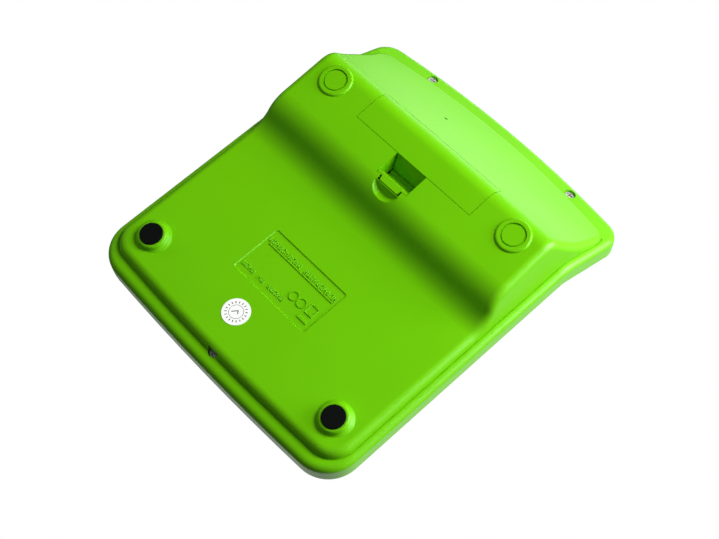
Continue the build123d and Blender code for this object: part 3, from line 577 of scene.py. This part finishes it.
LEGEND_SIZE, LEGEND_SMALL, LEGEND_PROUD, LEGEND_T = 7.4, 4.9, 0.03, 0.08
LEGEND_SLICE = 0.6


def dish_height(x):
    """Height of the dished key top at a distance from its middle line."""
    return KEY_TOP - KEY_DISH_DEPTH + KEY_DISH_R - math.sqrt(KEY_DISH_R**2 - x**2)


def add_legends(materials):
    """One printed sign for each key, bent to the dish of the key top."""
    for name, text in LEGENDS.items():
        low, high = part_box(name)
        middle = DESIGN.inverted() @ ((low + high) / 2)
        accent = name in ("key_clear", "key_all_clear")
        mesh = text_mesh("legend_" + name, text, LEGEND_SMALL if len(text) > 1 else LEGEND_SIZE, LEGEND_T)
        centre_mesh(mesh)
        slice_across(mesh, LEGEND_SLICE)
        for vertex in mesh.vertices:
            vertex.co.z += dish_height(vertex.co.x) + LEGEND_PROUD - LEGEND_T / 2
        place = DESIGN @ Matrix.Translation((round(middle.x, 2), middle.y, 0))
        ink = materials["legend_white" if accent else "legend_ink"]
        finish_piece("legend_" + name, mesh, place, NODES[name]["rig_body"], ink)


SEGMENTS = {
    "0": "abcdef", "1": "bc", "2": "abged", "3": "abgcd", "4": "fgbc",
    "5": "afgcd", "6": "afgedc", "7": "abc", "8": "abcdefg", "9": "abcdfg",
}
DIGIT_W, DIGIT_H, DIGIT_STROKE, DIGIT_PITCH, DIGIT_SLANT = 4.4, 8.6, 0.85, 7.6, 0.10
SEGMENT_GAP, READOUT_X, POINT_GAP, POINT_SIZE = 0.12, 6.0, 1.1, 0.9
INK_T, INK_CLEAR = 0.02, 0.01
GRID_XS, GRID_LINE_W, GRID_T, GRID_EDGE, GRID_END = (-9.5, 0.0, 9.5), 0.35, 0.04, 0.3, 0.5


def add_digit(form, digit, x, y):
    """One seven-segment digit, slanted, with pointed segment ends."""
    half_w, half_h, stroke = DIGIT_W / 2, DIGIT_H / 2, DIGIT_STROKE
    flat = {"a": (0, half_h), "g": (0, 0), "d": (0, -half_h)}
    upright = {
        "f": (-half_w, half_h / 2), "b": (half_w, half_h / 2),
        "e": (-half_w, -half_h / 2), "c": (half_w, -half_h / 2),
    }
    for segment in SEGMENTS[digit]:
        if segment in flat:
            (sx, sy), reach, along = flat[segment], half_w - SEGMENT_GAP, Vector((1, 0))
        else:
            (sx, sy), reach, along = upright[segment], half_h / 2 - SEGMENT_GAP, Vector((0, 1))
        side = Vector((-along.y, along.x)) * stroke / 2
        tip, shoulder = along * reach, along * (reach - stroke / 2)
        outline = [tip, shoulder + side, -shoulder + side, -tip, -shoulder - side, shoulder - side]
        loops = []
        for rise in (0.0, INK_T):
            ring = []
            for point in outline:
                at = Vector((sx, sy)) + point
                ring.append(form.verts.new((x + at.x + DIGIT_SLANT * at.y, y + at.y, rise)))
            loops.append(ring)
        close_rings(form, loops)


def add_display_details(materials):
    """Digits on the display glass, and the grid lines of the solar cell."""

    def digits(form):
        start = (len(READOUT) - 1) / 2
        for i, digit in enumerate(READOUT):
            add_digit(form, digit, (i - start) * DIGIT_PITCH + READOUT_X, 0.0)
        right = (len(READOUT) - 1 - start) * DIGIT_PITCH + READOUT_X + DIGIT_W / 2 + POINT_GAP
        add_bar(form, (right, -DIGIT_H / 2, INK_T / 2), (POINT_SIZE, POINT_SIZE, INK_T))

    place = SLOPE @ Matrix.Translation((0, LCD_MIDDLE, LCD_FACE + INK_CLEAR))
    finish_piece("lcd_digits", mesh_from("lcd_digits", digits), place, "case", materials["lcd_ink"])

    def cell_lines(form):
        short, long = 2 * SOLAR_HALF_S - 2 * GRID_EDGE, 2 * SOLAR_HALF_X - 2 * GRID_END
        for x in GRID_XS:
            add_bar(form, (x, 0, GRID_T / 2), (GRID_LINE_W, short, GRID_T))
        for side in (-1, 1):
            add_bar(form, (0, side * (SOLAR_HALF_S - GRID_EDGE), GRID_T / 2), (long, GRID_EDGE, GRID_T))

    place = SLOPE @ Matrix.Translation((0, SOLAR_MIDDLE, SOLAR_FACE))
    lines = mesh_from("solar_lines", cell_lines)
    finish_piece("solar_lines", lines, place, "case", materials["contact_plate"])


# ---------------------------------------------------------------- underside details


RULE_X, RULE_Y, RULE_LEN, RULE_W = 0.9, -27.6, 32.0, 0.38
UPPER_ROW = dict(x=17.3, y=-29.2, count=21, pitch=1.60, tall=1.7, gaps=(10,))
LOWER_ROW = dict(x=17.0, y=-16.6, count=13, pitch=1.60, tall=1.6, gaps=(4, 7))
STROKES = (0.95, 0.75, 1.05, 0.6, 0.9)
STROKE_W, CHAMFER, LAP = 0.30, 0.10, 0.02
# The cross strokes are a hair lower than the others, so that no two faces lie on each other.
MARK_H = 0.36
CROSS_MARK_H = MARK_H - 0.01
PLAIN_RING_XS, PLAIN_RING_Y, PLAIN_RING_R = (-4.2, -8.0), -20.3, 1.7
BLOCK_Y, BLOCK_LEN, BLOCK_W = -16.4, 4.4, 1.1
FRAME_X, FRAME_Y, FRAME_HALF_X, FRAME_HALF_Y = -12.5, -20.8, 1.6, 1.86
FRAME_SIDE_LEN, FRAME_END_LEN = 4.0, 2.94

TICKS, TICK_R, TICK_LEN, TICK_W = 18, 3.55, 0.75, 0.34
STAMP_RING_R, STAMP_RING_W, CHECK_W = 2.55, 0.16, 0.36
PRINT_T, PRINT_CROSS_T = 0.02, 0.021

COIL_TURNS, COIL_POINTS, COIL_WIRE_R, COIL_CLEAR = 5.0, 24, 0.3, 0.4
COIL_WIDE_R, COIL_TAPER = 4.4, 2.0
COIL_PLATE, COIL_PLATE_T, COIL_PLATE_Z = 9.0, 0.2, 1.0


def add_greeked_row(form, x, y, count, pitch, tall, gaps):
    """Row of small raised outlines in place of a line of moulded words."""
    for i in range(count):
        if i in gaps:
            continue
        wide = STROKES[i % len(STROKES)]
        cx = x - i * pitch
        for side in (-1, 1):
            add_bar(form, (cx + side * wide / 2, y, 0), (STROKE_W, tall, MARK_H), chamfer=CHAMFER)
        bar_y = y + (tall - STROKE_W) / 2 * (1, -1, 0)[i % 3]
        add_bar(form, (cx, bar_y, 0), (wide - STROKE_W + LAP, STROKE_W, CROSS_MARK_H), chamfer=CHAMFER)


def add_label_panel(materials):
    """Raised rule, greeked rows and plain marks on the floor of the sunk panel.

    They are drawn as seen from below, so Y is negative here until the piece is turned over.
    """

    def marks(form):
        add_bar(form, (RULE_X, RULE_Y, 0), (RULE_LEN, RULE_W, MARK_H), chamfer=CHAMFER)
        add_greeked_row(form, **UPPER_ROW)
        add_greeked_row(form, **LOWER_ROW)
        for x in PLAIN_RING_XS:
            add_ring(form, (x, PLAIN_RING_Y, 0), PLAIN_RING_R, STROKE_W, MARK_H)
        add_bar(form, (FRAME_X, BLOCK_Y, 0), (BLOCK_LEN, BLOCK_W, MARK_H), chamfer=CHAMFER)
        for side in (-1, 1):
            upright = (FRAME_X + side * FRAME_HALF_X, FRAME_Y, 0)
            add_bar(form, upright, (STROKE_W, FRAME_SIDE_LEN, MARK_H), chamfer=CHAMFER)
            level = (FRAME_X, FRAME_Y + side * FRAME_HALF_Y, 0)
            add_bar(form, level, (FRAME_END_LEN, STROKE_W, CROSS_MARK_H), chamfer=CHAMFER)

    mesh = mesh_from("label_marks", marks)
    place = DESIGN @ Matrix.Translation((0, 0, LABEL_FLOOR - MARK_H / 2 + LAP)) @ FACE_DOWN
    finish_piece("label_marks", mesh, place, "case", materials["green_shell"])


def add_sticker_print(materials):
    """Plain ring of ticks round a check mark, in place of the printed stamp."""

    def stamp(form):
        for i in range(TICKS):
            angle = 360.0 / TICKS * i
            at = Matrix.Rotation(math.radians(angle), 3, "Z") @ Vector((TICK_R, 0, 0))
            add_bar(form, at, (TICK_LEN, TICK_W, PRINT_T), turn=angle)
        add_ring(form, (0, 0, 0), STAMP_RING_R, STAMP_RING_W, PRINT_T)
        add_bar(form, (-0.62, -0.25, 0), (1.3, CHECK_W, PRINT_T), turn=-48)
        add_bar(form, (0.52, 0.12, 0), (2.3, CHECK_W, PRINT_CROSS_T), turn=52)

    place = DESIGN @ Matrix.Translation((STICKER_X, STICKER_Y, STICKER_FACE)) @ FACE_DOWN
    mesh = mesh_from("sticker_print", stamp)
    finish_piece("sticker_print", mesh, place, "case", materials["sticker_ink"])


def add_contact_spring(materials):
    """Conical wire spring and its plate, for the flat-ended side of the cell."""
    curve = bpy.data.curves.new("contact_spring", "CURVE")
    curve.dimensions, curve.bevel_depth, curve.bevel_resolution = "3D", COIL_WIRE_R, 3
    curve.use_fill_caps = True
    line = curve.splines.new("POLY")
    count = int(COIL_TURNS * COIL_POINTS)
    line.points.add(count)
    climb = BAY_HALF_X - CELL_HALF - COIL_CLEAR - 2 * COIL_WIRE_R
    for i, point in enumerate(line.points):
        share = i / count
        angle, radius = 2 * math.pi * COIL_TURNS * share, COIL_WIDE_R - COIL_TAPER * share
        point.co = (COIL_WIRE_R + climb * share, radius * math.cos(angle), radius * math.sin(angle), 1)
    coil = mesh_of_curve("contact_spring", curve)

    def with_plate(form):
        form.from_mesh(coil)
        add_bar(form, (COIL_PLATE_T / 2, 0, COIL_PLATE_Z), (COIL_PLATE_T, COIL_PLATE, COIL_PLATE))

    mesh = mesh_from("contact_spring", with_plate)
    place = DESIGN @ Matrix.Translation((-BAY_HALF_X, CELL_Y, CELL_Z))
    piece = finish_piece("contact_spring", mesh, place, "case", materials["contact_plate"])
    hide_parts("negative_spring")


# ---------------------------------------------------------------- the whole model


def paint_nodes(materials):
    """Gives every CAD node the material of its slot in the record."""
    for node in NODES.values():
        for holder in node.material_slots:
            holder.material = materials[holder.material.name.split(".")[0]]


add_camera()
add_floor()
add_lights()
materials = make_materials()
paint_nodes(materials)
add_legends(materials)
add_display_details(materials)
add_label_panel(materials)
add_sticker_print(materials)
add_contact_spring(materials)
